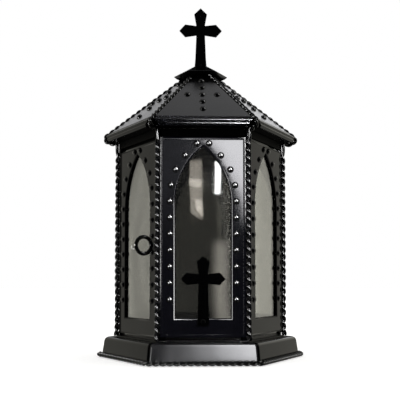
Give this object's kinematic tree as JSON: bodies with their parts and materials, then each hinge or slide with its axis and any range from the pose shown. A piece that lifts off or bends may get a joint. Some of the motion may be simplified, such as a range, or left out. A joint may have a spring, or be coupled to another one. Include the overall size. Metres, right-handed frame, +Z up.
{
  "type": "grave lantern",
  "caption": "Hexagonal gothic grave lantern with lancet windows, a hinged door panel with a ring latch, a pyramid roof with a cross finial and rope mouldings.",
  "frame": {"origin": "centre of the footprint, on the ground", "axes": "+Z up the axis of the lantern; the front window with the applied cross looks along -Y; corners of the hexagon on +X and -X"},
  "size_m": [0.2368, 0.205, 0.4022],
  "materials": {
    "enamel": "gloss black enamel on sheet steel",
    "enamel_rope": "gloss black enamel on twisted wire",
    "enamel_inside": "black enamel, duller on the inner frame",
    "glass": "clear window glass with a faint smoky tint",
    "steel": "plain zinc-plated steel hardware"
  },
  "bodies": {
    "lantern": {"plinth_side_front": "enamel", "plinth_side_front_right": "enamel", "plinth_side_rear_right": "enamel", "plinth_side_rear": "enamel", "plinth_side_rear_left": "enamel", "plinth_side_front_left": "enamel", "plinth_floor": "enamel_inside", "foot_rope": "enamel_rope", "body_sill": "enamel_inside", "body_header": "enamel_inside", "corner_post_right": "enamel_inside", "corner_post_rear_right": "enamel_inside", "corner_post_rear_left": "enamel_inside", "corner_post_left": "enamel_inside", "corner_post_front_left": "enamel_inside", "corner_post_front_right": "enamel_inside", "corner_rope_right": "enamel_rope", "corner_rope_rear_right": "enamel_rope", "corner_rope_rear_left": "enamel_rope", "corner_rope_left": "enamel_rope", "corner_rope_front_left": "enamel_rope", "corner_rope_front_right": "enamel_rope", "panel_front": "enamel", "panel_front_right": "enamel", "panel_rear_right": "enamel", "panel_rear": "enamel", "panel_rear_left": "enamel", "pane_front": "glass", "pane_front_right": "glass", "pane_rear_right": "glass", "pane_rear": "glass", "pane_rear_left": "glass", "hinge_pintle_top": "enamel", "hinge_pintle_bottom": "enamel", "front_cross": "enamel", "front_cross_rivet": "enamel", "roof_plate_front": "enamel", "roof_plate_front_right": "enamel", "roof_plate_rear_right": "enamel", "roof_plate_rear": "enamel", "roof_plate_rear_left": "enamel", "roof_plate_front_left": "enamel", "roof_frame": "enamel_inside", "hip_rope_right": "enamel_rope", "hip_rope_rear_right": "enamel_rope", "hip_rope_rear_left": "enamel_rope", "hip_rope_left": "enamel_rope", "hip_rope_front_left": "enamel_rope", "hip_rope_front_right": "enamel_rope", "roof_cap": "enamel", "cap_spacer": "steel", "cap_bridge": "steel", "finial_cross": "enamel", "finial_nut": "steel"},
    "door": {"door_panel": "enamel", "pane_front_left": "glass", "latch_washer": "steel"},
    "latch": {"ring_handle": "enamel", "latch_cam": "steel", "latch_nut": "steel"}
  },
  "joints": [
    {"name": "door_hinge", "type": "hinge", "parent": "lantern", "child": "door", "pos_m": [-0.09082, -0.00509, 0.1288], "axis": [0, 0, -1], "range_deg": [0, 110]},
    {"name": "latch_turn", "type": "hinge", "parent": "door", "child": "latch", "pos_m": [-0.05083, -0.07496, 0.1218], "axis": [-0.866, -0.5, 0], "range_deg": [0, 90]}
  ]
}
